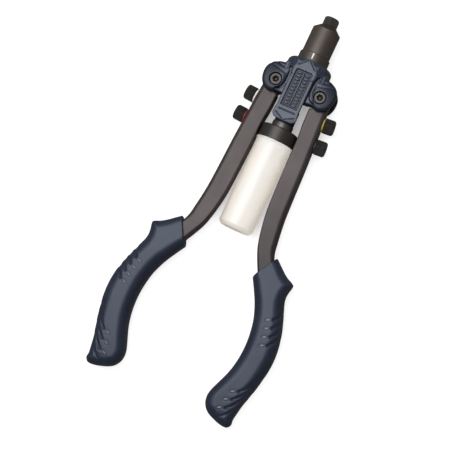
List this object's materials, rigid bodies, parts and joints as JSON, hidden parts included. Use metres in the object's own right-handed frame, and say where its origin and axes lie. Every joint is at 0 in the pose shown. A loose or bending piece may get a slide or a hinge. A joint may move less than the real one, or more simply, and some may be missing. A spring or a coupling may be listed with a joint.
{
  "type": "hand riveter",
  "caption": "Long-arm hand riveter: toothed lever arms drive a sliding nose over a jaw chuck, with spare nosepieces on the arms and a stem bottle behind.",
  "frame": {"origin": "on the tool axis, midway between the two arm pivots", "axes": "+Y out of the nose along the tool axis, +X to the right arm, +Z out of the front face of the head; the tool lies on its back"},
  "size_m": [0.1452, 0.3311, 0.0324],
  "materials": {
    "cast_paint": "hammered slate-blue paint on a die casting",
    "arm_paint": "warm grey satin coating on forged steel",
    "grip_plastic": "slate-blue moulded plastic, lightly textured",
    "nose_steel": "dark turned steel, browned",
    "ring_steel": "olive-brown passivated steel",
    "nosepiece_steel": "black oxide",
    "bolt_steel": "blackened steel, slightly rubbed",
    "inner_steel": "ground steel",
    "bronze": "sintered bronze",
    "adapter_steel": "blackened steel",
    "collar_plastic": "dark moulded plastic, satin",
    "bottle_plastic": "milky translucent polyethylene",
    "ring_white": "matte rubber",
    "ring_red": "matte rubber",
    "ring_yellow": "matte rubber",
    "ring_blue": "matte rubber"
  },
  "bodies": {
    "head": {"head_casting": "cast_paint", "pull_tube": "inner_steel", "neck_adapter": "adapter_steel", "bottle_collar": "collar_plastic", "pivot_bolts": "bolt_steel", "pivot_nuts": "bolt_steel", "thrust_washers": "bronze", "jaw_case": "inner_steel", "jaw_spring": "inner_steel"},
    "jaw_pusher": {"jaw_pusher": "inner_steel"},
    "jaw_upper": {"jaw_upper": "inner_steel"},
    "jaw_left": {"jaw_left": "inner_steel"},
    "jaw_right": {"jaw_right": "inner_steel"},
    "nose": {"nose_housing": "nose_steel", "lock_ring": "ring_steel", "rack_sleeve": "inner_steel"},
    "nosepiece": {"nosepiece": "nosepiece_steel"},
    "left_arm": {"left_arm": "arm_paint", "left_pivot_bush": "bronze", "left_grip": "grip_plastic"},
    "right_arm": {"right_arm": "arm_paint", "right_pivot_bush": "bronze", "right_grip": "grip_plastic"},
    "spare_left_front": {"spare_left_front": "nosepiece_steel", "o_ring_left_front": "ring_white"},
    "spare_left_rear": {"spare_left_rear": "nosepiece_steel", "o_ring_left_rear": "ring_red"},
    "spare_right_front": {"spare_right_front": "nosepiece_steel", "o_ring_right_front": "ring_yellow"},
    "spare_right_rear": {"spare_right_rear": "nosepiece_steel", "o_ring_right_rear": "ring_blue"},
    "bottle": {"bottle": "bottle_plastic"}
  },
  "joints": [
    {"name": "left_arm_hinge", "type": "hinge", "parent": "head", "child": "left_arm", "pos_m": [-0.0192, 0, 0], "axis": [0, 0, -1], "range_deg": [0, 50]},
    {"name": "right_arm_hinge", "type": "hinge", "parent": "head", "child": "right_arm", "pos_m": [0.0192, 0, 0], "axis": [0, 0, 1], "range_deg": [0, 50]},
    {"name": "nose_slide", "type": "slide", "parent": "head", "child": "nose", "axis": [0, -1, 0], "range_m": [0, 0.00785]},
    {"name": "jaw_release", "type": "slide", "parent": "head", "child": "jaw_pusher", "axis": [0, -1, 0], "range_m": [0, 0.0025], "deforming": ["jaw_spring"]},
    {"name": "jaw_upper_slide", "type": "slide", "parent": "head", "child": "jaw_upper", "axis": [0, -0.9853, 0.1706], "range_m": [0, 0.00254]},
    {"name": "jaw_left_slide", "type": "slide", "parent": "head", "child": "jaw_left", "axis": [-0.1477, -0.9853, -0.0853], "range_m": [0, 0.00254]},
    {"name": "jaw_right_slide", "type": "slide", "parent": "head", "child": "jaw_right", "axis": [0.1477, -0.9853, -0.0853], "range_m": [0, 0.00254]},
    {"name": "nosepiece_unscrew", "type": "slide", "parent": "nose", "child": "nosepiece", "axis": [0, 1, 0], "range_m": [0, 0.012]},
    {"name": "spare_left_front_unscrew", "type": "slide", "parent": "left_arm", "child": "spare_left_front", "axis": [-0.9972, 0.075, 0], "range_m": [0, 0.012]},
    {"name": "spare_left_rear_unscrew", "type": "slide", "parent": "left_arm", "child": "spare_left_rear", "axis": [-0.9981, 0.061, 0], "range_m": [0, 0.012]},
    {"name": "spare_right_front_unscrew", "type": "slide", "parent": "right_arm", "child": "spare_right_front", "axis": [0.9972, 0.075, 0], "range_m": [0, 0.012]},
    {"name": "spare_right_rear_unscrew", "type": "slide", "parent": "right_arm", "child": "spare_right_rear", "axis": [0.9981, 0.061, 0], "range_m": [0, 0.012]},
    {"name": "bottle_unscrew", "type": "slide", "parent": "head", "child": "bottle", "axis": [0, -1, 0], "range_m": [0, 0.03]}
  ],
  "couplings": [
    {"joint": "right_arm_hinge", "follows": "left_arm_hinge", "ratio": 1},
    {"joint": "nose_slide", "follows": "left_arm_hinge", "m_per_rad": 0.009},
    {"joint": "jaw_upper_slide", "follows": "jaw_release", "ratio": 1.0149},
    {"joint": "jaw_left_slide", "follows": "jaw_release", "ratio": 1.0149},
    {"joint": "jaw_right_slide", "follows": "jaw_release", "ratio": 1.0149}
  ]
}
